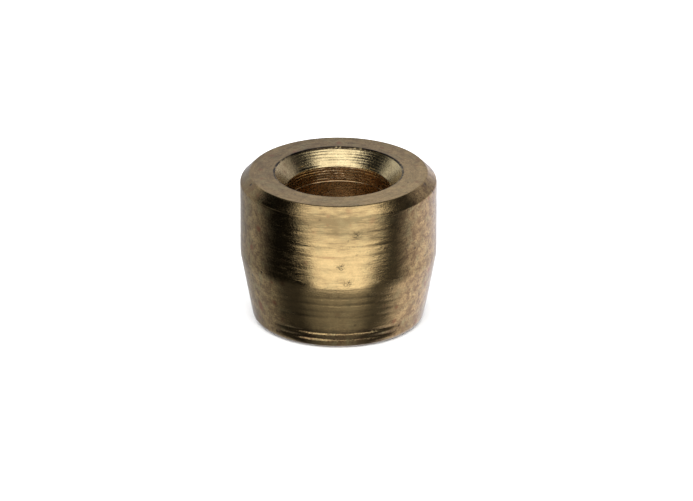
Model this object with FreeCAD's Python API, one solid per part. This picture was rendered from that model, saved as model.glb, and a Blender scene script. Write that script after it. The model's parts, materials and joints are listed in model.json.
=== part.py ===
import FreeCAD
import Part
import math
import os

# Brass compression olive for a small pipe: one turned ring, standing on its nose.
# The pipe goes in through the flared mouth on top. When the nut is tightened it bears on the shoulder
# and drives the tapered nose into the cone of the fitting, so that the ring closes on the pipe.
# Frame: millimetres, +Z up along the bore, origin at the centre of the nose face.

# Pipe and bore
PIPE_DIAMETER = 4.0
PIPE_SLACK = 0.1  # bore over pipe, on the diameter
ENTRY_LEDGE = 0.03  # radial step where the wider entry meets the bore
ENTRY_LENGTH = 0.62  # from the foot of the countersink down to the ledge

# Outside of the ring
OUTER_DIAMETER = 8.0
LENGTH = 6.32
BARREL_LENGTH = 3.07
SHOULDER_CHAMFER = 0.39  # 45 degrees, between the mouth face and the barrel
NOSE_HALF_ANGLE = 10.6  # degrees from the axis

# Mouth and nose ends of the hole
MOUTH_FLARE = 0.53  # radial width of the countersink
MOUTH_DEPTH = 0.66
NOSE_BORE_CHAMFER = 0.2  # 45 degrees, deburred

# Radii of the rounded edges
NOSE_EDGE_RADIUS = 0.32
RIDGE_RADIUS = 1.5  # between barrel and nose, where the taper starts
SHOULDER_EDGE_RADIUS = 0.1
MOUTH_LIP_RADIUS = 0.04
SHARP = 0.0

NODE = "olive"
FULL_TURN = 360.0
AXIS = FreeCAD.Vector(0, 0, 1)
ORIGIN = FreeCAD.Vector(0, 0, 0)

# Radii and heights that follow from the sizes above
bore_radius = (PIPE_DIAMETER + PIPE_SLACK) / 2
entry_radius = bore_radius + ENTRY_LEDGE
mouth_radius = entry_radius + MOUTH_FLARE
outer_radius = OUTER_DIAMETER / 2
mouth_face_radius = outer_radius - SHOULDER_CHAMFER
shoulder_height = LENGTH - SHOULDER_CHAMFER
ridge_height = shoulder_height - BARREL_LENGTH
nose_radius = outer_radius - ridge_height * math.tan(math.radians(NOSE_HALF_ANGLE))
countersink_foot = LENGTH - MOUTH_DEPTH
ledge_height = countersink_foot - ENTRY_LENGTH


def turned_section():
    """Corners of the half section as (radius, height, rounding), from the nose end of the bore."""
    return [
        (bore_radius + NOSE_BORE_CHAMFER, 0, SHARP),
        (nose_radius, 0, NOSE_EDGE_RADIUS),
        (outer_radius, ridge_height, RIDGE_RADIUS),
        (outer_radius, shoulder_height, SHOULDER_EDGE_RADIUS),
        (mouth_face_radius, LENGTH, SHOULDER_EDGE_RADIUS),
        (mouth_radius, LENGTH, MOUTH_LIP_RADIUS),
        (entry_radius, countersink_foot, SHARP),
        (entry_radius, ledge_height, SHARP),
        (bore_radius, ledge_height, SHARP),
        (bore_radius, NOSE_BORE_CHAMFER, SHARP),
    ]


def rounded_corner(before, corner, after, rounding):
    """Start, middle and end of the arc that is tangent to both sides of the corner."""
    side_in = (before - corner).normalize()
    side_out = (after - corner).normalize()
    half_angle = side_in.getAngle(side_out) / 2
    setback = rounding / math.tan(half_angle)
    crown = rounding / math.sin(half_angle) - rounding
    middle = corner + (side_in + side_out).normalize() * crown
    return corner + side_in * setback, middle, corner + side_out * setback


def section_face(corners):
    """Closed face in the XZ plane, with straight sides between the rounded corners."""
    points = [FreeCAD.Vector(radius, 0, height) for radius, height, rounding in corners]
    arcs = []
    for index, (radius, height, rounding) in enumerate(corners):
        after = points[(index + 1) % len(points)]
        arcs.append(rounded_corner(points[index - 1], points[index], after, rounding))
    edges = []
    for index, (start, middle, end) in enumerate(arcs):
        edges.append(Part.makeLine(arcs[index - 1][2], start))
        if corners[index][2] > SHARP:
            edges.append(Part.Arc(start, middle, end).toShape())
    return Part.Face(Part.Wire(edges))


def make_olive():
    return section_face(turned_section()).revolve(ORIGIN, AXIS, FULL_TURN)


def main():
    os.makedirs("parts", exist_ok=True)
    olive = make_olive()
    olive.exportStep(f"parts/{NODE}.step")
    box = olive.optimalBoundingBox(False)
    print(f"{NODE}: {olive.ShapeType}, valid {olive.isValid()}, volume {olive.Volume:.3f} mm3")
    print(f"box {box.XLength:.3f} x {box.YLength:.3f} x {box.ZLength:.3f} mm, from z {box.ZMin:.3f}")
    print(f"nose corner radius {nose_radius:.3f}, ridge height {ridge_height:.3f}, ledge {ledge_height:.3f}")


main()
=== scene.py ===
# %% [markdown]
# # A brass compression olive
#
# An olive is a small brass ring that a nut squeezes onto a pipe. This one stands on its tapered nose, with
# its flared mouth up. The CAD frame gives the exact ring, but its mesh has flat facets and no trace of the
# lathe. A mirror-like metal shows every facet, so the ring is turned again here, finely enough to carry its
# tool marks in its own shape, and then it gets its brass.

# %% Load the frame
import json
import math

import bmesh
import bpy
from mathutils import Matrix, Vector, noise


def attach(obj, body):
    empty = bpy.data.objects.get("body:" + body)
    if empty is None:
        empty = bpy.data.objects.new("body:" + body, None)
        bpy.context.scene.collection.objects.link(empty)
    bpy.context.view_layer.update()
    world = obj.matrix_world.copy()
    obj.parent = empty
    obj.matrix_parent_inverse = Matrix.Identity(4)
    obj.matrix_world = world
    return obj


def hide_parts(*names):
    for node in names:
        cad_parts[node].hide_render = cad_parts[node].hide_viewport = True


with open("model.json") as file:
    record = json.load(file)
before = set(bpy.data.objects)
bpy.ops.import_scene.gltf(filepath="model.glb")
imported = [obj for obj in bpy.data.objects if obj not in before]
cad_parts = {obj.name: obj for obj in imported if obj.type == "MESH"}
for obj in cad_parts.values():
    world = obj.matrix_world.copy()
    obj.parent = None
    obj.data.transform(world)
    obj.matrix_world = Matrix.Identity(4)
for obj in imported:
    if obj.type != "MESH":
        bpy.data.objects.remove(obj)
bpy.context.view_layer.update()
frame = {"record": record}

MM = 0.001


# %% [markdown]
# ## Sizes
#
# The frame's record states the mounts with their real sizes, so the bore, the barrel and the length are read
# from there and can't drift away from the CAD. The smaller sizes of the section are named here, in metres.

# %% Sizes of the turned section
mounts = {mount["name"]: mount for mount in frame["record"]["mounts"]}
bore_radius = mounts["pipe_bore"]["dims"]["r_mm"] * MM
barrel_radius = mounts["barrel"]["dims"]["r_mm"] * MM
length = mounts["mouth_face"]["pos_m"][2]

ENTRY_LEDGE = 0.03 * MM
ENTRY_LENGTH = 0.62 * MM
MOUTH_FLARE = 0.53 * MM
MOUTH_DEPTH = 0.66 * MM
SHOULDER_CHAMFER = 0.39 * MM
BARREL_LENGTH = 3.07 * MM
NOSE_HALF_ANGLE = math.radians(10.6)
NOSE_BORE_CHAMFER = 0.2 * MM

entry_radius = bore_radius + ENTRY_LEDGE
mouth_radius = entry_radius + MOUTH_FLARE
countersink_foot = length - MOUTH_DEPTH
ledge_height = countersink_foot - ENTRY_LENGTH
shoulder_height = length - SHOULDER_CHAMFER
ridge_height = shoulder_height - BARREL_LENGTH
nose_radius = barrel_radius - ridge_height * math.tan(NOSE_HALF_ANGLE)
radii = {"barrel": barrel_radius, "bore": bore_radius, "nose": nose_radius}
print("radii in mm:", {name: round(radius / MM, 3) for name, radius in radii.items()})

# %% [markdown]
# ## The section
#
# A turned part is one outline swept round an axis. The outline could be typed in as a long list of points,
# but its few corners say more: each has a radius, a height and a rounding. A vertex bevel then turns each
# rounded corner into an arc, exactly as an edge break does on the lathe. The bevel's offset is the distance
# along the sides, so it is worked out from the rounding and the angle of the corner.

# %% Corners and their rounding
SHARP = 0.0
FOOT_ROUND = 0.32 * MM
RIDGE_ROUND = 1.5 * MM
SHOULDER_ROUND = 0.1 * MM
LIP_ROUND = 0.04 * MM
ENTRY_ROUND = 0.03 * MM
LEDGE_BREAK = 0.014 * MM

corners = [
    (bore_radius + NOSE_BORE_CHAMFER, 0.0, SHARP),
    (nose_radius, 0.0, FOOT_ROUND),
    (barrel_radius, ridge_height, RIDGE_ROUND),
    (barrel_radius, shoulder_height, SHOULDER_ROUND),
    (barrel_radius - SHOULDER_CHAMFER, length, SHOULDER_ROUND),
    (mouth_radius, length, LIP_ROUND),
    (entry_radius, countersink_foot, ENTRY_ROUND),
    (entry_radius, ledge_height, SHARP),
    (bore_radius + LEDGE_BREAK, ledge_height, SHARP),
    (bore_radius, ledge_height - LEDGE_BREAK, SHARP),
    (bore_radius, NOSE_BORE_CHAMFER, SHARP),
]
print("corners of the section:", len(corners))

# %% Draw the section
ARC_SEGMENTS = 8
ARC_STEP = 0.03 * MM


def round_corner(bm, corner, before, after, rounding):
    side_in = before - corner.co
    side_out = after - corner.co
    between = side_in.angle(side_out)
    setback = rounding / math.tan(between / 2)
    segments = max(ARC_SEGMENTS, round(rounding * (math.pi - between) / ARC_STEP))
    bmesh.ops.bevel(bm, geom=[corner], affect="VERTICES", offset=setback, offset_type="OFFSET",
                    segments=segments, profile=0.5, material=-1)


def section_outline():
    bm = bmesh.new()
    points = [Vector((radius, 0, height)) for radius, height, rounding in corners]
    verts = [bm.verts.new(point) for point in points]
    bm.faces.new(verts)
    for index, vert in enumerate(verts):
        rounding = corners[index][2]
        if rounding > SHARP:
            round_corner(bm, vert, points[index - 1], points[(index + 1) % len(points)], rounding)
    return bm


ring = section_outline()
print("points with the arcs:", len(ring.verts))

# %% [markdown]
# ## Short steps
#
# The lathe tool leaves a ring at every turn, and on this olive the rings are what gives the metal its
# streaky look. They could be painted with a bump, but then the outline and the bright edges would stay too
# clean. So the straight sides are divided into steps short enough to carry the rings as shape. Deep in the
# bore and under the nose nobody looks, so there the steps are long.

# %% Divide the sides
SKIN_STEP = 0.03 * MM
MOUTH_STEP = 0.02 * MM
HIDDEN_STEP = 0.2 * MM
LOWEST_SEEN_IN_BORE = 4.0 * MM


def in_bore(radius, height):
    return radius < entry_radius + ENTRY_LEDGE / 2 and height < countersink_foot


def step_at(radius, height):
    if in_bore(radius, height) and height < LOWEST_SEEN_IN_BORE:
        return HIDDEN_STEP
    if height < NOSE_BORE_CHAMFER and radius < nose_radius - NOSE_BORE_CHAMFER:
        return HIDDEN_STEP
    return MOUTH_STEP if radius < mouth_radius else SKIN_STEP


# Only the wall of the bore is this long, and it is split at the lowest height that is seen
for edge in list(ring.edges):
    if edge.calc_length() > LOWEST_SEEN_IN_BORE:
        top = max(edge.verts, key=lambda vert: vert.co.z)
        bmesh.utils.edge_split(edge, top, (top.co.z - LOWEST_SEEN_IN_BORE) / edge.calc_length())

for edge in list(ring.edges):
    middle = (edge.verts[0].co + edge.verts[1].co) / 2
    cuts = int(edge.calc_length() / step_at(middle.x, middle.z))
    if cuts > 0:
        bmesh.ops.subdivide_edges(ring, edges=[edge], cuts=cuts)
print("points in short steps:", len(ring.verts))

# %% [markdown]
# ## A ruler along the section
#
# The rings of the tool follow the section, whether it climbs the barrel, crosses the flat face or goes down
# the bore. So each point keeps how far along the section it lies, in millimetres. A UV map could hold this
# number too, but an attribute needs no unwrapping and has no seam round the ring.

# %% Measure along the section
run_layer = ring.verts.layers.float.new("run_mm")
ring.faces.ensure_lookup_table()
path = [loop.vert for loop in ring.faces[0].loops]
run = 0.0
for vert, after in zip(path, path[1:] + path[:1]):
    vert[run_layer] = run
    run += (after.co - vert.co).length / MM
print(f"once round the section: {run:.2f} mm")

# %% [markdown]
# ## Turning the ring
#
# Spin sweeps the outline round the Z axis, as the lathe does. A full turn is merged where it meets its own
# start. Spin can leave a shape inside out, so the doubles are merged first and the normals are then
# recalculated. The run along the section travels with each point, and both the tool marks and the brass
# will use it to follow the rings on every face, flat, conical or straight.

# %% Spin the section
TURN_STEPS = 192
MERGE_DISTANCE = 0.0001 * MM

bmesh.ops.delete(ring, geom=list(ring.faces), context="FACES_ONLY")
bmesh.ops.spin(ring, geom=list(ring.verts) + list(ring.edges), cent=(0, 0, 0), axis=(0, 0, 1),
               angle=math.tau, steps=TURN_STEPS, use_merge=True)
bmesh.ops.remove_doubles(ring, verts=list(ring.verts), dist=MERGE_DISTANCE)
bmesh.ops.recalc_face_normals(ring, faces=list(ring.faces))
print(f"ring: {len(ring.faces)} faces, volume {ring.calc_volume() / MM ** 3:.2f} mm3")

# %% [markdown]
# ## Three kinds of cut
#
# The outside was turned, the mouth was countersunk and the bore was drilled, and each has aged in its own
# way. So each face gets the number of its finish now, while its place in the section is easy to tell. All
# faces are shaded smooth, and only the edges that turn a true corner stay sharp.

# %% Sort the faces by their cut
SKIN, COUNTERSINK, BORE = 0, 1, 2
SHARP_EDGE = math.radians(35)

for edge in ring.edges:
    edge.smooth = edge.calc_face_angle() < SHARP_EDGE
for face in ring.faces:
    face.smooth = True
    centre = face.calc_center_median()
    radius = math.hypot(centre.x, centre.y)
    if in_bore(radius, centre.z):
        face.material_index = BORE
    elif centre.z > countersink_foot and radius < mouth_radius:
        face.material_index = COUNTERSINK
    else:
        face.material_index = SKIN
print("sharp edges:", sum(not edge.smooth for edge in ring.edges))

# %% [markdown]
# ## Telling places apart
#
# Marks and dirt both depend on where a point lies: how far along the section, and on which side of the ring.
# These helpers turn a place into numbers. From here on a place is in millimetres, and its direction from the
# axis is a vector that has the right side as Y and the back as Z. X is left free for the run along the
# section, so one noise can follow the rings and still change slowly round them, as real marks do. Where a
# value below is a pair of numbers, it says where such a ramp starts and where it ends.

# %% Helpers for places on the ring
def ramp(value, start, end):
    """A soft step, from 0 at the start to 1 at the end."""
    share = min(max((value - start) / (end - start), 0.0), 1.0)
    return share * share * (3 - 2 * share)


def fade(low, high, share):
    """The number that lies this share of the way from low to high."""
    return low + (high - low) * share


def spot(place, middle, width):
    """A round spot with a soft edge, 1 in its middle."""
    return math.exp(-((place - middle).length / width) ** 2)


def round_the_axis(place):
    """The radius of a place, and its direction from the axis."""
    radius = math.hypot(place.x, place.y)
    return radius, Vector((0, place.x / radius, place.y / radius))


def wander(run, around, pitch, lumps, seed):
    """From 0 to 1, changing with each pitch of the run, and faster round the ring with more lumps."""
    return 0.5 + 0.5 * noise.noise(Vector((run / pitch, 0, seed)) + lumps * around)


# %% [markdown]
# ## Deep rings
#
# A few rings on the barrel and the nose are deeper than the rest, at heights taken from the picture, and the
# two lowest are real grooves. They show on the side that has been handled most and almost vanish behind it.
# Each has a soft profile, wider where it is deeper, and comes and goes round the ring. The list gives the
# height and the depth of each, in millimetres.

# %% Depth of the deep rings
DEEP_RINGS = {5.25: 0.004, 4.63: 0.006, 4.21: 0.002, 3.64: 0.0015, 2.76: 0.003, 2.37: 0.005, 2.05: 0.008,
              1.72: 0.004, 1.44: 0.007, 0.71: 0.040, 0.43: 0.042}
RING_WIDTH = 0.06
RING_SPREAD = 10.0
RING_SHALLOWEST, RING_DEEPEST = 0.5, 1.5
RINGS_BEHIND = 0.03
FRONT_ARC = (0.6, 0.94)


def in_front(around):
    """How much this place lies on the side that has been handled most."""
    return ramp(-around.z, *FRONT_ARC)


def deep_rings(height, around):
    """The depth that the deep rings have together at this height."""
    depth = 0.0
    for ring_height, ring_depth in DEEP_RINGS.items():
        there = wander(0.0, around, pitch=1.0, lumps=2.0, seed=ring_height)
        width = RING_WIDTH * (1 + RING_SPREAD * ring_depth)
        profile = math.exp(-((height - ring_height) / width) ** 2)
        depth += ring_depth * fade(RING_SHALLOWEST, RING_DEEPEST, there) * profile
    return depth * fade(RINGS_BEHIND, 1.0, in_front(around) ** 2)


# %% [markdown]
# ## Feed marks
#
# The countersink and the entry below it were cut with a coarse feed, which leaves a hollow between every two
# ridges. A parabola repeated at each pitch gives the hollow. The pitch wobbles a little and some turns cut
# deeper than others. In the countersink the marks are plain at the back and have worn off in front, and in
# the entry they end just above the ledge.

# %% Depth of the feed marks
FEED_WOBBLE = 0.6
BACK_ARC = (0.5, 0.8)
ABOVE_LEDGE = (0.05, 0.15)


def scallop(pitch, run, around):
    """How deep between two ridges of the feed this place lies, from 0 to 1."""
    across = (run / pitch + FEED_WOBBLE * wander(run, around, pitch=0.5, lumps=1.0, seed=5.0)) % 1.0
    return 4 * across * (1 - across)


def feed_groove(pitch, run, around):
    """The scallop, deeper in some turns of the tool than in others."""
    return scallop(pitch, run, around) * wander(run, around, pitch=0.2, lumps=1.0, seed=1.0)


def above_ledge(height):
    return ramp(height - ledge_height / MM, *ABOVE_LEDGE)


def at_back(around):
    return ramp(around.z, *BACK_ARC)


# %% [markdown]
# ## Cutting the marks
#
# Each point now sinks into the metal along its own normal: into the feed marks inside the mouth, and outside
# into faint waves, the deep rings and one small nick at the foot. The marks only ever cut inwards, so the
# ring keeps its size. All normals are read before the first point moves, so that no cut tilts the next one.

# %% Cut the marks
FEED_PITCH = 0.113
FEED_DEPTH = 0.03
FEED_IN_FRONT = 0.1
ENTRY_PITCH = 0.12
ENTRY_FEED_DEPTH = 0.024
WAVE_PITCH = 0.3
WAVE_DEPTH = 0.004
NICK_PLACE = Vector((3.47, -0.25, 0.3))
NICK_WIDTH = 0.2
NICK_DEPTH = 0.08


def in_mouth(radius):
    return radius * MM < mouth_radius


def in_countersink(place, radius):
    return in_mouth(radius) and place.z * MM >= countersink_foot


def mark_depth(place, run):
    radius, around = round_the_axis(place)
    if in_countersink(place, radius):
        return FEED_DEPTH * fade(FEED_IN_FRONT, 1.0, at_back(around)) * feed_groove(FEED_PITCH, run, around)
    if in_mouth(radius):
        return ENTRY_FEED_DEPTH * above_ledge(place.z) * feed_groove(ENTRY_PITCH, run, around)
    waves = WAVE_DEPTH * wander(run, around, pitch=WAVE_PITCH, lumps=0.6, seed=7.0)
    nick = NICK_DEPTH * spot(place, NICK_PLACE, NICK_WIDTH)
    return waves + deep_rings(place.z, around) + nick


ring.normal_update()
marks = [(vert, vert.normal.copy(), mark_depth(vert.co / MM, vert[run_layer])) for vert in ring.verts]
for vert, outward, depth in marks:
    vert.co -= outward * depth * MM
print(f"deepest mark: {max(depth for vert, outward, depth in marks):.3f} mm")

# %% [markdown]
# ## Where the metal is dull or painted darker
#
# Much of the wear on the real ring depends on the place rather than on chance. It is painted as attributes on
# the points, which already lie close enough together, and the brass then breaks the paint up with noise. The
# first paint is the dull film. The barrel is duller towards its shoulder, with one grey smudge in the middle.
# On the shoulder the film also carries painted shade, darker on the left and lighter on the right, and a
# patch of painted shade darkens the back left of the mouth. The mouth face is wiped clean on one side, apart
# from its front lip. Every paint takes the place and the run, whether it needs both or not, so that one loop
# can use them.

# %% Film inside the mouth, with a patch of painted shade
BORE_FILM = 0.3
CUT_FILM = 0.1
SHADE_PATCH_FILM = 0.35
SHADE_PATCH_SIDE = Vector((0, -0.66, 0.75))
SHADE_PATCH_ARC = (0.9, 0.98)


# The patch at the back left of the mouth is painted shade: it darkens the dark reflection of the open gap
# there.
def film_and_shade_inside(place, around):
    shade_patch = SHADE_PATCH_FILM * ramp(around.dot(SHADE_PATCH_SIDE), *SHADE_PATCH_ARC)
    return fade(BORE_FILM, CUT_FILM + shade_patch, above_ledge(place.z))


# %% Film on the barrel, and film with painted shade on the shoulder
BARREL_FILM = 0.85
BARREL_FILM_BEHIND = 0.2
BARREL_SKIN = (-0.1, -0.02)
UPPER_BARREL = (4.0, 6.0)
SHOULDER_FILM = 0.6
SHOULDER_SHADE_ACROSS = 0.65
SHOULDER_BOTTOM = (-0.42, -0.32)
SHOULDER_TOP = (0.0, -0.05)


def film_on_barrel(place, radius, around):
    handled = fade(BARREL_FILM_BEHIND, 1.0, in_front(around))
    near_skin = ramp(radius - barrel_radius / MM, *BARREL_SKIN)
    return BARREL_FILM * handled * near_skin * ramp(place.z, *UPPER_BARREL)


# On the shoulder the film also carries painted shade: darker on the left and lighter on the right.
def film_and_shade_on_shoulder(place, around):
    below_face = place.z - length / MM
    level = SHOULDER_FILM - SHOULDER_SHADE_ACROSS * around.y
    return level * ramp(below_face, *SHOULDER_BOTTOM) * ramp(below_face, *SHOULDER_TOP)


# %% Film on the mouth face, and all of it together
FACE_BAND = (-0.04, -0.01)
FACE_FILM = 0.16
FACE_WIPED_OFF = 0.45
WIPED_SIDE = Vector((0, 0.6, -0.8))
LIP_FILM = 0.25
LIP_ARC = (0.93, 1.0)
FOOT_FILM = 0.5
FOOT_BAND = (0.85, 0.6)
SMUDGE_FILM = 0.25
SMUDGE_PLACE = Vector((0.0, -4.0, 5.8))
SMUDGE_WIDTH = 0.45


def on_mouth_face(place):
    return ramp(place.z - length / MM, *FACE_BAND)


def film_on_face(place, around):
    front_lip = LIP_FILM * ramp(-around.z, *LIP_ARC)
    return (FACE_FILM - FACE_WIPED_OFF * around.dot(WIPED_SIDE) + front_lip) * on_mouth_face(place)


# The film paint is real film on most of the ring, and painted shade on the shoulder and at the back left of
# the mouth.
def film_and_shade_at(place, run):
    radius, around = round_the_axis(place)
    if in_mouth(radius):
        return film_and_shade_inside(place, around)
    upper = max(film_on_barrel(place, radius, around), film_and_shade_on_shoulder(place, around))
    at_foot = FOOT_FILM * ramp(place.z, *FOOT_BAND)
    smudge = SMUDGE_FILM * spot(place, SMUDGE_PLACE, SMUDGE_WIDTH)
    return upper + at_foot + smudge + film_on_face(place, around)


# %% [markdown]
# ## Where the metal is dirty or painted dark
#
# Grime and painted shade are the second paint, dark and thick. A thin broken line along the rim of the mouth
# is painted shade, for the dark reflection of the rounded lip. The paint also sits in the deep rings a little
# above their middle, as grime and as painted shade on the upper flank, in brush marks of grime on the back of
# the mouth face, and between the ridges of the feed as grime, in the countersink also as painted shade. A
# hollow raised to a power keeps the paint to the bottom of the hollow.

# %% Grime and painted shade on the outside
RIM_SHADE = 4.0
RIM_LINE_WIDTH = 0.03
RIM_SHADE_IN_FRONT = 0.2
RIM_BEHIND = (-0.6, 0.2)
RIM_SHADE_IN_BREAKS = 0.3
RIM_BREAKS = (0.35, 0.5)
RING_GRIME_AND_SHADE = 0.6
FULL_RING_DEPTH = 0.008
SHADE_RISE = 0.04
BRUSH_GRIME = 0.6
BRUSH_MARKS = (0.6, 0.8)
BRUSHED_BEHIND = (-0.5, 0.5)


# The dark line along the rim of the mouth is painted shade. It stands in for the dark reflection of the
# rounded lip, and it is darkest at the back.
def shade_on_rim(place, radius, around):
    from_rim = math.hypot(radius - mouth_radius / MM, place.z - length / MM)
    behind = fade(RIM_SHADE_IN_FRONT, 1.0, ramp(around.z, *RIM_BEHIND))
    lumpy = wander(0.0, around, pitch=1.0, lumps=16.0, seed=9.0)
    broken = fade(RIM_SHADE_IN_BREAKS, 1.0, ramp(lumpy, *RIM_BREAKS))
    return RIM_SHADE * broken * behind * ramp(from_rim, 2 * RIM_LINE_WIDTH, RIM_LINE_WIDTH)


# In the deep rings the paint is partly grime in the hollow and partly painted shade. It is raised onto the
# upper flank of each ring, which faces down and looks dark. The brush marks on the mouth face are grime.
def grime_and_shade_outside(place, run, around):
    in_rings = min(deep_rings(place.z - SHADE_RISE, around) / FULL_RING_DEPTH, 1.0)
    brush_marks = ramp(wander(run, around, pitch=0.09, lumps=3.0, seed=4.0), *BRUSH_MARKS)
    brushed = brush_marks * on_mouth_face(place) * ramp(around.z, *BRUSHED_BEHIND)
    return RING_GRIME_AND_SHADE * in_rings + BRUSH_GRIME * brushed


# %% Grime and painted shade inside the mouth, and all of it together
CUT_GRIME_AND_SHADE = 2.4
CUT_GRIME_AND_SHADE_POWER = 4
CUT_GRIME_AND_SHADE_TURNS = (0.3, 0.75)
ENTRY_GRIME_POWER = 3


# In the countersink the dark lines between the ridges of the feed are partly grime and partly painted shade.
# They stand for the dark side of each scallop and are kept to the back of the countersink.
def grime_and_shade_in_countersink(run, around):
    groove = scallop(FEED_PITCH, run, around) ** CUT_GRIME_AND_SHADE_POWER
    uneven = ramp(wander(run, around, pitch=0.15, lumps=1.5, seed=2.0), *CUT_GRIME_AND_SHADE_TURNS)
    return CUT_GRIME_AND_SHADE * at_back(around) * groove * uneven


def grime_in_entry(place, run, around):
    groove = scallop(ENTRY_PITCH, run, around) ** ENTRY_GRIME_POWER
    return above_ledge(place.z) * groove * wander(run, around, pitch=0.3, lumps=3.0, seed=2.0)


def grime_and_shade_at(place, run):
    radius, around = round_the_axis(place)
    if in_countersink(place, radius):
        grime_and_shade = grime_and_shade_in_countersink(run, around)
    elif in_mouth(radius):
        grime_and_shade = grime_in_entry(place, run, around)
    else:
        grime_and_shade = grime_and_shade_outside(place, run, around)
    return shade_on_rim(place, radius, around) + grime_and_shade


# %% [markdown]
# ## Where the metal is rubbed or marked
#
# The last three paints are smaller. Rubbing at the front of the ring and on the mouth face has taken off
# stain and softened the pits. One thin streak of rust lies across the barrel, and three dings sit on it.

# %% Rubbed metal, rust and dings
RUBBED_ARC = (0.65, 0.9)
RUBBED_RADII = (3.5, 3.7)
FACE_RUBBED_LEAST, FACE_RUBBED_MOST = 0.4, 0.75
RUST_LEVEL = 0.5
RUST_PLACE = Vector((-0.4, -3.98, 4.22))
RUST_LENGTH = 0.4
RUST_WIDTH = 0.045
RUST_SIDE = (0.0, 1.0)
DING_PLACES = [Vector((0.74, -3.93, 5.2)), Vector((0.09, -4.0, 3.8)), Vector((0.37, -3.98, 3.1))]
DING_WIDTH = 0.15


def rubbed_at(place, run):
    radius, around = round_the_axis(place)
    wiped = ramp(around.dot(WIPED_SIDE), 0.0, 1.0)
    on_face = fade(FACE_RUBBED_LEAST, FACE_RUBBED_MOST, wiped) * on_mouth_face(place)
    on_front = ramp(-around.z, *RUBBED_ARC) * ramp(radius, *RUBBED_RADII)
    return max(on_front, on_face)


def rust_at(place, run):
    offset = place - RUST_PLACE
    streak = math.exp(-(offset.x / RUST_LENGTH) ** 2 - (offset.z / RUST_WIDTH) ** 2)
    return RUST_LEVEL * streak * ramp(-place.y, *RUST_SIDE)


def dings_at(place, run):
    return sum(spot(place, middle, DING_WIDTH) for middle in DING_PLACES)


# %% [markdown]
# ## Painting the points
#
# Each paint becomes a number on every point, which travels into the mesh as an attribute of the same name. A
# new layer moves the others in memory, so the layer of the run is fetched again each time.

# %% Paint the points
# The film and grime paints both carry painted shade beside real film and grime.
paints = {"film": film_and_shade_at, "grime_and_shade": grime_and_shade_at, "rubbed": rubbed_at, "rust": rust_at, "dings": dings_at}
for name, paint in paints.items():
    layer = ring.verts.layers.float.new(name)
    run_layer = ring.verts.layers.float["run_mm"]
    for vert in ring.verts:
        vert[layer] = paint(vert.co / MM, vert[run_layer])
    print(f"{name}: up to {max(vert[layer] for vert in ring.verts):.2f}")

# %% [markdown]
# ## The piece
#
# The finished bmesh becomes an object at the origin, unturned and unscaled, with its place in its mesh. It
# rides on the one body of the frame and takes the place of the CAD ring.

# %% Make the piece
def add_object(name, bm):
    mesh = bpy.data.meshes.new(name)
    bm.to_mesh(mesh)
    bm.free()
    made = bpy.data.objects.new(name, mesh)
    bpy.context.scene.collection.objects.link(made)
    return made


olive = add_object("turned_olive", ring)
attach(olive, "root")
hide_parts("olive")
print("turned_olive:", len(olive.data.vertices), "vertices,", 2 * len(olive.data.polygons), "triangles")

# %% [markdown]
# ## Node helpers
#
# A material is a small tree of nodes. The first helper makes one node, sets its options, and either sets or
# links each input, so that the trees below read from top to bottom like a recipe. The others shorten the
# kinds of node that come up most. A group is a tree of its own, with named inputs and outputs, that several
# materials can use.

# %% Helpers for nodes
def add(tree, kind, inputs=None, **options):
    node = tree.nodes.new(kind)
    for name, value in options.items():
        setattr(node, name, value)
    for name, value in (inputs or {}).items():
        if isinstance(value, bpy.types.NodeSocket):
            tree.links.new(value, node.inputs[name])
        else:
            node.inputs[name].default_value = value
    return node


def math_node(tree, operation, first, second=0.0, third=0.0, clamp=False):
    inputs = {0: first, 1: second, 2: third}
    return add(tree, "ShaderNodeMath", inputs, operation=operation, use_clamp=clamp).outputs[0]


def times(tree, first, second, clamp=False):
    return math_node(tree, "MULTIPLY", first, second, clamp=clamp)


def times_plus(tree, first, second, added):
    return math_node(tree, "MULTIPLY_ADD", first, second, added)


def vector_node(tree, operation, inputs):
    return add(tree, "ShaderNodeVectorMath", inputs, operation=operation).outputs[0]


def group_with(name, numbers, result):
    """An empty node group with number inputs, given as {name: default}, and one number as its output."""
    tree = bpy.data.node_groups.new(name, "ShaderNodeTree")
    for label, default in numbers.items():
        socket = tree.interface.new_socket(label, in_out="INPUT", socket_type="NodeSocketFloat")
        socket.default_value = default
    tree.interface.new_socket(result, in_out="OUTPUT", socket_type="NodeSocketFloat")
    return tree, tree.nodes.new("NodeGroupInput").outputs, tree.nodes.new("NodeGroupOutput").inputs


# %% [markdown]
# ## Streaks that follow the tool
#
# A streak is long round the ring and thin across it. The group reads two things: the direction from the
# axis, which is the same on both sides of any seam, and the run along the section. Noise on those two, many
# times finer across than around, gives streaks that follow the rings on every face.

# %% Group for streaks
def streak_group():
    numbers = {"Around": 2.0, "Across": 8.0, "Low": 0.35, "High": 0.65}
    tree, given, result = group_with("turning_streaks", numbers, "Streaks")
    place = add(tree, "ShaderNodeTexCoord").outputs["Object"]
    flat = vector_node(tree, "MULTIPLY", {0: place, 1: (1, 1, 0)})
    direction = vector_node(tree, "NORMALIZE", {0: flat})
    around = vector_node(tree, "SCALE", {0: direction, "Scale": given["Around"]})
    run_mm = add(tree, "ShaderNodeAttribute", attribute_name="run_mm").outputs["Fac"]
    lift = add(tree, "ShaderNodeCombineXYZ", {"Z": times(tree, run_mm, given["Across"])}).outputs[0]
    point = vector_node(tree, "ADD", {0: around, 1: lift})
    grain = add(tree, "ShaderNodeTexNoise", {"Vector": point, "Scale": 1.0, "Detail": 4.0, "Roughness": 0.6})
    limits = {"Value": grain.outputs[0], "From Min": given["Low"], "From Max": given["High"]}
    mask = add(tree, "ShaderNodeMapRange", limits).outputs[0]
    tree.links.new(mask, result["Streaks"])
    return tree


streaks = streak_group()
print(f"{streaks.name}: {len(streaks.nodes)} nodes")

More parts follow.
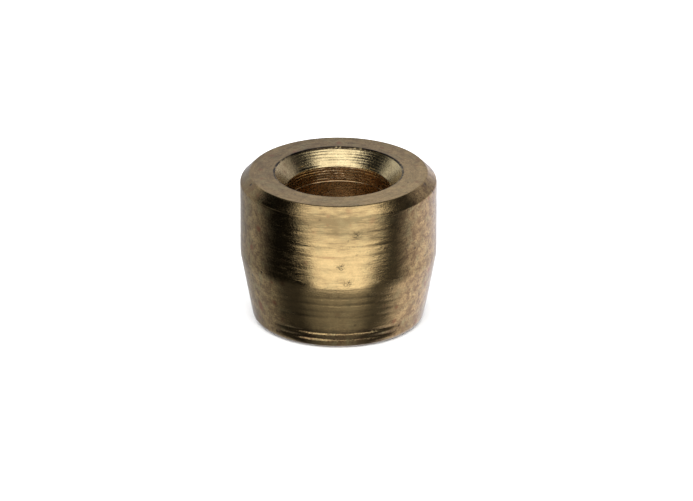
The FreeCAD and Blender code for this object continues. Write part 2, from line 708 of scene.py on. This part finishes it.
# %% [markdown]
# ## Pits
#
# The old brass has small dark pits, scattered and of different sizes. Cells of a Voronoi texture give one
# possible pit each, and the cell's own random colour decides whether it is there and how large it is. A
# little noise on the place makes their edges ragged.

# %% Group for pits
RAGGEDNESS = 0.35


def pit_group():
    tree, given, result = group_with("pits", {"Spacing": 0.4, "Share": 0.2, "Size": 0.2}, "Pits")
    place = add(tree, "ShaderNodeTexCoord").outputs["Object"]
    scale = math_node(tree, "DIVIDE", 1 / MM, given["Spacing"])
    point = vector_node(tree, "SCALE", {0: place, "Scale": scale})
    tangle = add(tree, "ShaderNodeTexNoise", {"Vector": point, "Scale": 6.0, "Detail": 2.0}).outputs["Color"]
    ragged = vector_node(tree, "MULTIPLY_ADD", {0: tangle, 1: (RAGGEDNESS, RAGGEDNESS, RAGGEDNESS), 2: point})
    cells = add(tree, "ShaderNodeTexVoronoi", {"Vector": ragged, "Scale": 1.0})
    dice = add(tree, "ShaderNodeSeparateColor", {"Color": cells.outputs["Color"]}).outputs
    there = math_node(tree, "LESS_THAN", dice["Red"], given["Share"])
    radius = times(tree, dice["Green"], given["Size"])
    limits = {"Value": cells.outputs["Distance"], "From Min": radius, "From Max": 0.0}
    edge = add(tree, "ShaderNodeMapRange", limits, interpolation_type="SMOOTHSTEP").outputs[0]
    tree.links.new(times(tree, edge, there), result["Pits"])
    return tree


pits = pit_group()
print(f"{pits.name}: {len(pits.nodes)} nodes")

# %% [markdown]
# ## Tarnish
#
# Handled brass dulls in soft patches, browner and rougher than the metal between them. Ordinary noise in
# millimetres does this, with its low end cut off so that clean metal stays clean.

# %% Group for tarnish
def tarnish_group():
    tree, given, result = group_with("tarnish", {"Patch": 1.0, "Low": 0.45, "High": 0.7}, "Tarnish")
    place = add(tree, "ShaderNodeTexCoord").outputs["Object"]
    scale = math_node(tree, "DIVIDE", 1 / MM, given["Patch"])
    texture = {"Vector": place, "Scale": scale, "Detail": 5.0, "Roughness": 0.6}
    grain = add(tree, "ShaderNodeTexNoise", texture)
    limits = {"Value": grain.outputs[0], "From Min": given["Low"], "From Max": given["High"]}
    mask = add(tree, "ShaderNodeMapRange", limits).outputs[0]
    tree.links.new(mask, result["Tarnish"])
    return tree


tarnish = tarnish_group()
print(f"{tarnish.name}: {len(tarnish.nodes)} nodes")

# %% [markdown]
# ## What the brass is made of
#
# The outside, the countersink and the bore are the same metal with different histories, so one recipe makes
# all three. Its ingredients are the groups at several sizes, from broad streaks to fine flecks, and the
# paints on the points. Pits are fainter where the metal is rubbed, and the dings are broken up by flecks.

# %% Ingredients of the brass
PITS_RUBBED_OFF = 0.6


def use_group(tree, group, **numbers):
    node = add(tree, "ShaderNodeGroup", node_tree=group)
    for name, value in numbers.items():
        node.inputs[name].default_value = value
    return node.outputs[0]


def brass_ingredients(tree, pit_share):
    look = {
        "broad": use_group(tree, streaks, Around=2.4, Across=4.0),
        "fine": use_group(tree, streaks, Around=9.0, Across=16.0),
        "clouds": use_group(tree, tarnish, Patch=0.7, Low=0.38, High=0.68),
        "bloom": use_group(tree, tarnish, Patch=0.5, Low=0.48, High=0.66),
        "spots": use_group(tree, tarnish, Patch=0.3, Low=0.42, High=0.74),
        "grain": use_group(tree, tarnish, Patch=0.07, Low=0.44, High=0.62),
        "flecks": use_group(tree, tarnish, Patch=0.06, Low=0.5, High=0.6),
        "pitted": use_group(tree, pits, Spacing=0.35, Share=pit_share, Size=0.3),
        "specks": use_group(tree, pits, Spacing=0.45, Share=0.35, Size=0.5),
    }
    for name in paints:
        look[name] = add(tree, "ShaderNodeAttribute", attribute_name=name).outputs["Fac"]
    look["holes"] = times(tree, look["pitted"], times_plus(tree, look["rubbed"], -PITS_RUBBED_OFF, 1.0))
    look["broken_dings"] = times(tree, look["flecks"], look["dings"])
    return look


# %% [markdown]
# ## Colour of the brass
#
# The colour is built up in the order in which the real film, stains and dirt came onto the metal. First a
# dull film lies in clouds on untouched metal and in streaks on rubbed metal; in a few places it carries
# painted shade.
# Then come the stains, olive, brown and red, which rubbing takes off. Last is the dark paint: grime with
# painted shade, dings and pits. Each layer is a blend with one flat colour, and all the detail is in the
# masks.

# %% Film on the metal
DULL_FILM = (0.30, 0.217, 0.105, 1)
CLOUDED_STREAKS, CLEAR_STREAKS = 0.6, 0.4
CLOUDED_FILM = 0.7
VEIL_STREAKS, VEIL_BASE = 0.5, 0.6


def blend(tree, share, first, second):
    return add(tree, "ShaderNodeMix", {"Factor": share, 6: first, 7: second}, data_type="RGBA").outputs[2]


def filmed_colour(tree, look, metal, film):
    streaked = times(tree, look["broad"], times_plus(tree, look["clouds"], CLOUDED_STREAKS, CLEAR_STREAKS))
    clouded = times(tree, look["clouds"], CLOUDED_FILM)
    patchy = add(tree, "ShaderNodeMix", {"Factor": look["rubbed"], 2: clouded, 3: streaked}).outputs[0]
    # The film paint also carries painted shade: on the left of the shoulder and at the back left of the
    # mouth.
    painted = times_plus(tree, patchy, film, look["film"])
    veil = times(tree, painted, times_plus(tree, look["fine"], VEIL_STREAKS, VEIL_BASE), clamp=True)
    return blend(tree, veil, metal, DULL_FILM)


# %% Stains
OLIVE_STAIN = (0.50, 0.43, 0.22, 1)
BROWN_STAIN = (0.28, 0.18, 0.092, 1)
RED_SPECK = (0.36, 0.17, 0.085, 1)
STAIN_RUBBED_OFF = 0.75
BROWN_GRAIN, BROWN_BASE = 0.6, 0.2
RED_SPECK_LEVEL = 1.6


def stained_colour(tree, look, colour, stain):
    left_on = times_plus(tree, look["rubbed"], -STAIN_RUBBED_OFF * stain, stain)
    greened = blend(tree, times(tree, look["bloom"], left_on), colour, OLIVE_STAIN)
    speckle = times_plus(tree, look["grain"], BROWN_GRAIN, math_node(tree, "ADD", look["spots"], BROWN_BASE))
    browned = blend(tree, times(tree, speckle, left_on, clamp=True), greened, BROWN_STAIN)
    reddened = times(tree, look["specks"], times(tree, left_on, RED_SPECK_LEVEL), clamp=True)
    rusty = math_node(tree, "MAXIMUM", reddened, look["rust"])
    return blend(tree, rusty, browned, RED_SPECK)


# %% Dirt and painted shade
DARK_GRIME_AND_SHADE = (0.035, 0.024, 0.014, 1)
CRUMB_FLECKS, CRUMB_STREAKS, CRUMB_BASE = 0.4, 0.4, 0.15
DING_DIRT = 0.65


# The grime paint carries painted shade as well: the dark rim line, the upper flanks of the deep rings and the
# dark sides of the countersink's scallops.
def dirty_and_shaded_colour(tree, look, colour):
    streaky = times_plus(tree, look["broad"], CRUMB_STREAKS, CRUMB_BASE)
    crumbs = times_plus(tree, look["flecks"], CRUMB_FLECKS, streaky)
    broken_grime_and_shade = times(tree, look["grime_and_shade"], crumbs)
    scarred = math_node(tree, "MAXIMUM", times(tree, look["broken_dings"], DING_DIRT), look["holes"])
    dirt_and_shade = math_node(tree, "MAXIMUM", broken_grime_and_shade, scarred, clamp=True)
    return blend(tree, dirt_and_shade, colour, DARK_GRIME_AND_SHADE)


# %% [markdown]
# ## Relief of the brass
#
# What is too fine for the mesh is left to a bump: hair-fine streaks, grain, and the depth of pits and dings.
# The heights are in millimetres, and the distance of the bump node turns them into metres.

# %% Relief
CLOUD_RELIEF = 1.5
DING_DEPTH = 0.012
PIT_DEPTH = 0.008


def brass_relief(tree, look, streak_height, grain_height):
    ridges = math_node(tree, "ADD", look["fine"], look["broad"])
    dented = times_plus(tree, look["clouds"], CLOUD_RELIEF, ridges)
    grained = times_plus(tree, look["grain"], grain_height, times(tree, dented, streak_height))
    dinged = times_plus(tree, look["broken_dings"], -DING_DEPTH, grained)
    height = times_plus(tree, look["holes"], -PIT_DEPTH, dinged)
    return add(tree, "ShaderNodeBump", {"Height": height, "Distance": MM}).outputs[0]


# %% [markdown]
# ## Three finishes
#
# Each finish now says how bright its metal is, how rough, and how much film, stain and relief it carries. The
# rings spread the highlights across themselves, which is what the anisotropic setting is for: a tangent that
# runs round the axis, turned by a quarter.

# %% Brass finishes
CLEAN_BRASS = (0.79, 0.565, 0.265, 1)
PALE_BRASS = (0.96, 0.78, 0.44, 1)
GREASY_BRASS = (0.85, 0.61, 0.37, 1)
ACROSS_RINGS = 0.4
QUARTER_TURN = 0.25


def bare_tree(owner):
    """The node tree of a material or a world, emptied."""
    owner.use_nodes = True
    owner.node_tree.nodes.clear()
    return owner.node_tree


def brass(name, metal, rough, film, stain, streak_height, grain_height, pit_share):
    material = bpy.data.materials.new(name)
    tree = bare_tree(material)
    look = brass_ingredients(tree, pit_share)
    filmed = filmed_colour(tree, look, metal, film)
    stained = stained_colour(tree, look, filmed, stain)
    worn = times(tree, look["broad"], look["fine"])
    limits = {"Value": worn, "To Min": rough[0], "To Max": rough[1]}
    shader = add(tree, "ShaderNodeBsdfPrincipled", {
        "Base Color": dirty_and_shaded_colour(tree, look, stained),
        "Metallic": 1.0,
        "Roughness": add(tree, "ShaderNodeMapRange", limits).outputs[0],
        "Normal": brass_relief(tree, look, streak_height, grain_height),
        "Anisotropic": ACROSS_RINGS,
        "Anisotropic Rotation": QUARTER_TURN,
        "Tangent": add(tree, "ShaderNodeTangent", direction_type="RADIAL", axis="Z").outputs[0],
    })
    add(tree, "ShaderNodeOutputMaterial", {"Surface": shader.outputs[0]})
    return material


weathered = brass("weathered_brass", CLEAN_BRASS, rough=(0.11, 0.29), film=0.9, stain=0.9,
                  streak_height=0.0012, grain_height=0.0011, pit_share=0.33)
bright_cut = brass("bright_cut_brass", PALE_BRASS, rough=(0.12, 0.26), film=0.3, stain=0.25,
                   streak_height=0.0012, grain_height=0.0022, pit_share=0.25)
bored = brass("bored_brass", GREASY_BRASS, rough=(0.2, 0.35), film=0.6, stain=0.35,
              streak_height=0.004, grain_height=0.001, pit_share=0.15)
for finish in (weathered, bright_cut, bored):
    olive.data.materials.append(finish)
    print(f"{finish.name}: {len(finish.node_tree.nodes)} nodes")

# %% [markdown]
# ## Floor
#
# The olive stands on plain pale paper, larger than any view of it. The paper catches the soft shadow, but it
# is kept out of the reflections, because a white sheet all round would wash out the dark bands of the metal.

# %% Floor
PAPER_HALF_WIDTH = 0.6
PAPER_WHITE = (0.9, 0.9, 0.9, 1)
PAPER_ROUGHNESS = 0.9


def flat_sheet(half_width, lift):
    bm = bmesh.new()
    bmesh.ops.create_grid(bm, x_segments=1, y_segments=1, size=half_width)
    bmesh.ops.translate(bm, verts=list(bm.verts), vec=(0, 0, lift))
    return bm


paper_white = bpy.data.materials.new("paper_white")
paper_white.use_nodes = True
paper_shader = paper_white.node_tree.nodes["Principled BSDF"]
paper_shader.inputs["Base Color"].default_value = PAPER_WHITE
paper_shader.inputs["Roughness"].default_value = PAPER_ROUGHNESS

paper = add_object("paper", flat_sheet(PAPER_HALF_WIDTH, 0.0))
paper.data.materials.append(paper_white)
paper.visible_glossy = False
print(f"paper: {2 * PAPER_HALF_WIDTH:.1f} m wide")

# %% [markdown]
# ## Light
#
# Metal has no colour of its own to show: it shows the room. The room here is a light tent, and lamps could
# light it, but what counts is only what the metal sees in each direction. So the world gives the tent by
# direction: X is to the right, Y away from the camera and Z up. In front stands a broad bright panel,
# narrower towards its top. Beside it the tent is open and nearly black, and overhead is a dim ceiling. A
# pair of numbers again says where a soft edge starts and where it ends.

# %% Front panel, gaps and ceiling
FRONT_LEVEL = 1.4
FRONT_CENTRE = 0.022
FRONT_EDGE = (0.885, 0.785)
FRONT_TAPER = 0.365
FRONT_REACH = (0.1, -0.1)
FRONT_LOW = (-0.12, 0.0)
FRONT_TOP = (0.995, 0.95)
GAP_LEFT = 0.0065
GAP_RIGHT = 0.049
CEILING_LEVEL = 0.2
CEILING_EDGE = (0.75, 0.95)
ACROSS = (-0.5, 0.5)


def smooth(tree, value, start, end, low=0.0, high=1.0):
    inputs = {"Value": value, "From Min": start, "From Max": end, "To Min": low, "To Max": high}
    return add(tree, "ShaderNodeMapRange", inputs, interpolation_type="SMOOTHSTEP").outputs[0]


def left_to_right(tree, axis, left, right):
    return smooth(tree, axis["X"], *ACROSS, left, right)


def front_panel(tree, axis):
    above = math_node(tree, "MAXIMUM", axis["Z"], 0.0)
    off_centre = math_node(tree, "ABSOLUTE", math_node(tree, "SUBTRACT", axis["X"], FRONT_CENTRE))
    sides = smooth(tree, times_plus(tree, above, FRONT_TAPER, off_centre), *FRONT_EDGE)
    ahead = smooth(tree, axis["Y"], *FRONT_REACH)
    low_edge = smooth(tree, axis["Z"], *FRONT_LOW)
    top_edge = smooth(tree, axis["Z"], *FRONT_TOP)
    return times(tree, times(tree, sides, ahead), times(tree, low_edge, top_edge))


def gaps_and_ceiling(tree, axis):
    gap = left_to_right(tree, axis, GAP_LEFT, GAP_RIGHT)
    return smooth(tree, axis["Z"], *CEILING_EDGE, gap, CEILING_LEVEL)


# %% [markdown]
# ## Side walls
#
# From the sides round to the back run two walls, which give the pale flanks of the ring. The right one is
# brighter low down, and the left one high up. Their front edges lean and grow sharper with height, and their
# top edge slopes. All of that shows in the dark bands of the metal, so it was set by comparing the bands with
# the picture.

# %% Front edges of the walls
WALL_EDGE_LEFT = math.radians(17)
WALL_EDGE_RIGHT = math.radians(9)
WALL_LEAN_LEFT = math.radians(10.6)
WALL_LEAN_RIGHT = math.radians(20.5)
WALL_LEAN_LOW = math.radians(14)
WALL_LOW = 0.4
WALL_SOFTNESS = math.radians(19)
WALL_SHARPER_HIGH = math.radians(-16)


def wall_front_edge(tree, axis):
    edge = left_to_right(tree, axis, WALL_EDGE_LEFT, WALL_EDGE_RIGHT)
    lean = left_to_right(tree, axis, WALL_LEAN_LEFT, WALL_LEAN_RIGHT)
    leaning = times_plus(tree, axis["Z"], lean, edge)
    low = math_node(tree, "MINIMUM", math_node(tree, "ADD", axis["Z"], WALL_LOW), 0.0)
    curved = times_plus(tree, low, WALL_LEAN_LOW, leaning)
    above = math_node(tree, "MAXIMUM", axis["Z"], 0.0)
    softness = times_plus(tree, above, WALL_SHARPER_HIGH, WALL_SOFTNESS)
    azimuth = math_node(tree, "ARCTAN2", axis["Y"], math_node(tree, "ABSOLUTE", axis["X"]))
    past_edge = math_node(tree, "DIVIDE", math_node(tree, "SUBTRACT", azimuth, curved), softness)
    return smooth(tree, past_edge, -1.0, 1.0)


# %% Side walls
WALL_LEFT = 0.39
WALL_RIGHT = 0.90
WALL_HIGH_LEFT = 0.56
WALL_HIGH_RIGHT = 0.35
WALL_LOW_TO_HIGH = (-0.2, 0.3)
WALL_BOTTOM = (-0.94, -0.78)
WALL_TOP = (0.515, 0.29)
WALL_TOP_SLOPE = -0.3
WALL_TOP_TILT = -0.04


def side_walls(tree, axis):
    shape = times(tree, wall_front_edge(tree, axis), smooth(tree, axis["Z"], *WALL_BOTTOM))
    sloping = times_plus(tree, axis["Y"], WALL_TOP_SLOPE, axis["Z"])
    tilted = times_plus(tree, axis["X"], WALL_TOP_TILT, sloping)
    top_edge = smooth(tree, tilted, *WALL_TOP)
    low_level = left_to_right(tree, axis, WALL_LEFT, WALL_RIGHT)
    high_level = left_to_right(tree, axis, WALL_HIGH_LEFT, WALL_HIGH_RIGHT)
    level = smooth(tree, axis["Z"], *WALL_LOW_TO_HIGH, low_level, high_level)
    return times(tree, times(tree, shape, top_edge), level)


# %% [markdown]
# ## Left card and the whole tent
#
# Seen from the side, the flat mouth face would mirror an open gap and go black, so a dim card closes part of
# the left gap. Each wall has its own tint. The camera itself sees only a white backdrop: the Light Path node
# tells its rays from those that leave the metal.

# %% Left card
CARD_LEVEL = 0.1
CARD_BOTTOM = (0.06, 0.22)
CARD_TOP = (0.54, 0.38)
CARD_SIDES = (0.5, 0.2)
CARD_TO_LEFT = (0.3, -0.3)


def left_card(tree, axis):
    level = smooth(tree, axis["X"], *CARD_TO_LEFT, 0.0, CARD_LEVEL)
    along = smooth(tree, math_node(tree, "ABSOLUTE", axis["Y"]), *CARD_SIDES, 0.0, level)
    above = smooth(tree, axis["Z"], *CARD_BOTTOM)
    below = smooth(tree, axis["Z"], *CARD_TOP)
    return times(tree, along, times(tree, above, below))


# %% Light tent
WHITE = (1, 1, 1, 1)
BACKDROP_LEVEL = 1.0
WALL_TINT_LEFT = (0.96, 0.98, 1.01, 1)
WALL_TINT_RIGHT = (1.0, 0.97, 1.06, 1)
TINT_ACROSS = (-0.6, 0.6)


def light_tent():
    world = bpy.data.worlds.new("light_tent")
    tree = bare_tree(world)
    direction = add(tree, "ShaderNodeTexCoord").outputs["Generated"]
    axis = add(tree, "ShaderNodeSeparateXYZ", {0: direction}).outputs
    panel = times_plus(tree, front_panel(tree, axis), FRONT_LEVEL, gaps_and_ceiling(tree, axis))
    panel_and_card = math_node(tree, "ADD", panel, left_card(tree, axis))
    panel_light = add(tree, "ShaderNodeBackground", {"Color": WHITE, "Strength": panel_and_card})
    wall_tint = blend(tree, smooth(tree, axis["X"], *TINT_ACROSS), WALL_TINT_LEFT, WALL_TINT_RIGHT)
    wall_light = add(tree, "ShaderNodeBackground", {"Color": wall_tint, "Strength": side_walls(tree, axis)})
    tent = add(tree, "ShaderNodeAddShader", {0: panel_light.outputs[0], 1: wall_light.outputs[0]}).outputs[0]
    backdrop = add(tree, "ShaderNodeBackground", {"Color": WHITE, "Strength": BACKDROP_LEVEL}).outputs[0]
    seen = add(tree, "ShaderNodeLightPath").outputs["Is Camera Ray"]
    both = add(tree, "ShaderNodeMixShader", {0: seen, 1: tent, 2: backdrop}).outputs[0]
    add(tree, "ShaderNodeOutputWorld", {"Surface": both})
    return world


bpy.context.scene.world = light_tent()
print("light tent:", len(bpy.context.scene.world.node_tree.nodes), "nodes")

# %% [markdown]
# ## Bright paper in front
#
# The barrel and the nose look down at the camera's side of the paper, so what they mirror there is the paper
# itself, only a few millimetres away: bright in a wedge that opens towards the camera, and dim close to the
# foot. Something so near can't be given by direction alone. So a second sheet lies on the paper, clear but
# for the light that it gives off, and only the reflections see it. Its distances are in millimetres.

# %% Wedge of bright paper
NEAR_FOOT = (6.0, 9.0)
GLOW_LEFT_NEAR = (-0.19, 0.02)
GLOW_LEFT_FAR = (-0.066, -0.026)
GLOW_RIGHT_NEAR = (0.14, 0.02)
GLOW_RIGHT_FAR = (0.096, 0.034)
GLOW_WIDENS_TO = 14.0
GLOW_OPENS = (12.5, 17.0)
GLOW_OPENING = 0.71
GLOW_START = (0.0, 3.0)
FOOT_BASE = 0.13


def soft_edge(tree, distance, aside, near, far):
    """One side of the bright paper, softer near the foot than farther out."""
    start = smooth(tree, distance, *NEAR_FOOT, near[0], far[0])
    end = smooth(tree, distance, *NEAR_FOOT, near[1], far[1])
    return smooth(tree, aside, start, end)


def bright_wedge(tree, axis, distance):
    ahead = times(tree, axis["Y"], -1.0)
    spread = times(tree, ahead, math_node(tree, "MINIMUM", ahead, GLOW_WIDENS_TO))
    opening = smooth(tree, distance, *GLOW_OPENS, 1.0, GLOW_OPENING)
    aside = times(tree, math_node(tree, "DIVIDE", axis["X"], spread), opening)
    left = soft_edge(tree, distance, aside, GLOW_LEFT_NEAR, GLOW_LEFT_FAR)
    right = soft_edge(tree, distance, aside, GLOW_RIGHT_NEAR, GLOW_RIGHT_FAR)
    between = times(tree, times(tree, left, right), smooth(tree, ahead, *GLOW_START))
    base = smooth(tree, distance, *NEAR_FOOT, FOOT_BASE, 0.0)
    return math_node(tree, "MAXIMUM", between, base)


# %% Bright paper
GLOW_LEVEL = 1.32
GLOW_HALF_WIDTH = 60 * MM
GLOW_LIFT = 0.02 * MM
FOOT_SHADE = (6.6, 8.6)
FOOT_LEVEL = 0.185


def glow_material():
    material = bpy.data.materials.new("bright_paper")
    tree = bare_tree(material)
    place = add(tree, "ShaderNodeTexCoord").outputs["Object"]
    on_paper = vector_node(tree, "MULTIPLY", {0: place, 1: (1 / MM, 1 / MM, 0)})
    axis = add(tree, "ShaderNodeSeparateXYZ", {0: on_paper}).outputs
    distance = add(tree, "ShaderNodeVectorMath", {0: on_paper}, operation="LENGTH").outputs["Value"]
    level = smooth(tree, distance, *FOOT_SHADE, FOOT_LEVEL * GLOW_LEVEL, GLOW_LEVEL)
    strength = times(tree, bright_wedge(tree, axis, distance), level)
    glow = add(tree, "ShaderNodeEmission", {"Strength": strength}).outputs[0]
    clear = add(tree, "ShaderNodeBsdfTransparent").outputs[0]
    both = add(tree, "ShaderNodeAddShader", {0: glow, 1: clear}).outputs[0]
    add(tree, "ShaderNodeOutputMaterial", {"Surface": both})
    return material


bright_paper = add_object("bright_paper", flat_sheet(GLOW_HALF_WIDTH, GLOW_LIFT))
bright_paper.data.materials.append(glow_material())
bright_paper.visible_camera = False
bright_paper.visible_diffuse = False
bright_paper.visible_shadow = False
print(f"bright paper: {2 * GLOW_HALF_WIDTH / MM:.0f} mm wide")

# %% [markdown]
# ## Lamp for the paper
#
# The tent alone would leave the paper grey. A broad soft sun overhead brightens it and gives the faint
# shadow, and the metal doesn't mirror it. The plain view transform keeps white paper white.

# %% Lamp for the paper
LAMP_LEVEL = 4.6
LAMP_SPREAD = math.radians(110)
LAMP_TILT = math.radians(12)

lamp = bpy.data.lights.new("paper_lamp", "SUN")
lamp.energy = LAMP_LEVEL
lamp.angle = LAMP_SPREAD
paper_lamp = bpy.data.objects.new("paper_lamp", lamp)
paper_lamp.rotation_euler = (LAMP_TILT, 0, 0)
paper_lamp.visible_glossy = False
bpy.context.scene.collection.objects.link(paper_lamp)
bpy.context.scene.view_settings.view_transform = "Standard"
print(f"lamp: {math.degrees(LAMP_SPREAD):.0f} degrees wide")

# %% [markdown]
# ## Camera
#
# The picture was taken from far away with a long lens, looking down at the olive. The scale of the picture
# gives the lens, and the place of the olive in the picture gives a small sideways and downward move of the
# camera, so that no lens shift is needed.

# %% Camera
IMAGE_WIDTH, IMAGE_HEIGHT = 693, 501
LOOK_DOWN = math.radians(23.5)
CAMERA_DISTANCE = 0.36
NEAREST_SEEN = 0.01
PIXELS_PER_RADIUS = 98.2
OLIVE_CENTRE_PIXEL = (338.5, 242.9)

metres_per_pixel = barrel_radius / PIXELS_PER_RADIUS
camera_data = bpy.data.cameras.new("camera")
camera_data.lens = CAMERA_DISTANCE / metres_per_pixel / IMAGE_WIDTH * camera_data.sensor_width
camera_data.clip_start = NEAREST_SEEN
camera = bpy.data.objects.new("camera", camera_data)
camera.rotation_euler = (math.pi / 2 - LOOK_DOWN, 0, 0)
right = Vector((1, 0, 0))
back = Vector((0, -math.cos(LOOK_DOWN), math.sin(LOOK_DOWN)))
up = back.cross(right)
aside = (IMAGE_WIDTH / 2 - OLIVE_CENTRE_PIXEL[0]) * metres_per_pixel
below = (IMAGE_HEIGHT / 2 - OLIVE_CENTRE_PIXEL[1]) * metres_per_pixel
camera.location = Vector((0, 0, length / 2)) + back * CAMERA_DISTANCE + right * aside - up * below
bpy.context.scene.collection.objects.link(camera)
bpy.context.scene.camera = camera
print(f"lens {camera_data.lens:.1f} mm")
